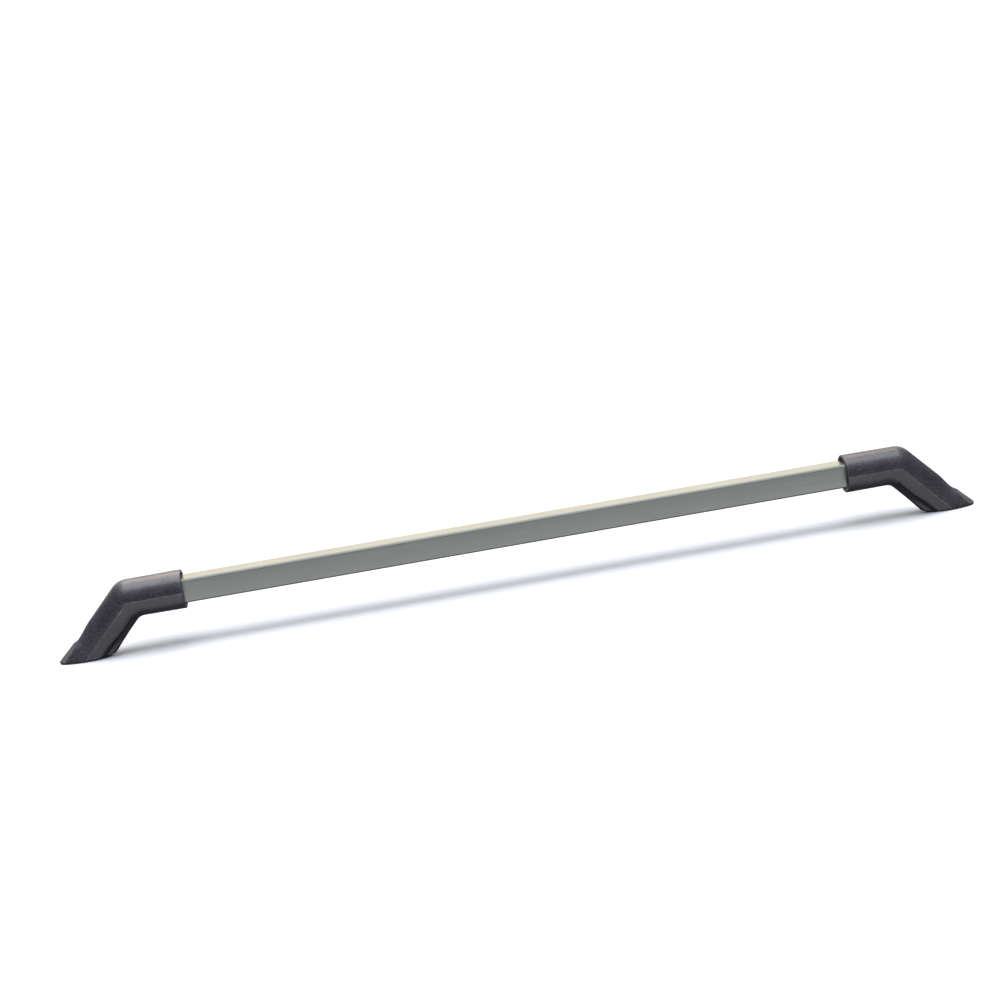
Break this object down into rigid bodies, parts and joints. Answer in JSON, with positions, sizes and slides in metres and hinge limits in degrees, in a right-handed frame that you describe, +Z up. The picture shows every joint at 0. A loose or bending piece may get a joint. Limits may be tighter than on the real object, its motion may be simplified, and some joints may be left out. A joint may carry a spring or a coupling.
{
  "type": "bed cargo bar",
  "caption": "Square aluminium cargo bar carried between two black moulded end fittings, each with a round socket, a sloping leg and a flat oval foot that bolts down.",
  "frame": {"origin": "under the middle of the bar, at the level the two foot pads stand on", "axes": "+X along the bar towards the right fitting, +Y away from the viewer across the bar, +Z up"},
  "size_m": [1.474, 0.061, 0.1165],
  "materials": {
    "anodised_tube": "satin anodised, fine grain along the bar",
    "moulded_black": "glass-filled moulding, fine speckled texture, satin",
    "pad_rubber": "matt",
    "plug_plastic": "matt",
    "zinc_steel": "zinc plated",
    "screw_steel": "stainless, satin",
    "insert_brass": "machined"
  },
  "bodies": {
    "root": {"bar_tube": "anodised_tube", "left_end_fitting": "moulded_black", "right_end_fitting": "moulded_black", "left_foot_pad": "pad_rubber", "right_foot_pad": "pad_rubber", "left_tube_plug": "plug_plastic", "right_tube_plug": "plug_plastic", "left_nut_plate": "zinc_steel", "right_nut_plate": "zinc_steel", "left_inner_bar_screw": "screw_steel", "left_outer_bar_screw": "screw_steel", "right_inner_bar_screw": "screw_steel", "right_outer_bar_screw": "screw_steel", "left_inner_washer": "zinc_steel", "left_outer_washer": "zinc_steel", "right_inner_washer": "zinc_steel", "right_outer_washer": "zinc_steel", "left_heel_insert": "insert_brass", "left_toe_insert": "insert_brass", "right_heel_insert": "insert_brass", "right_toe_insert": "insert_brass"}
  },
  "joints": []
}
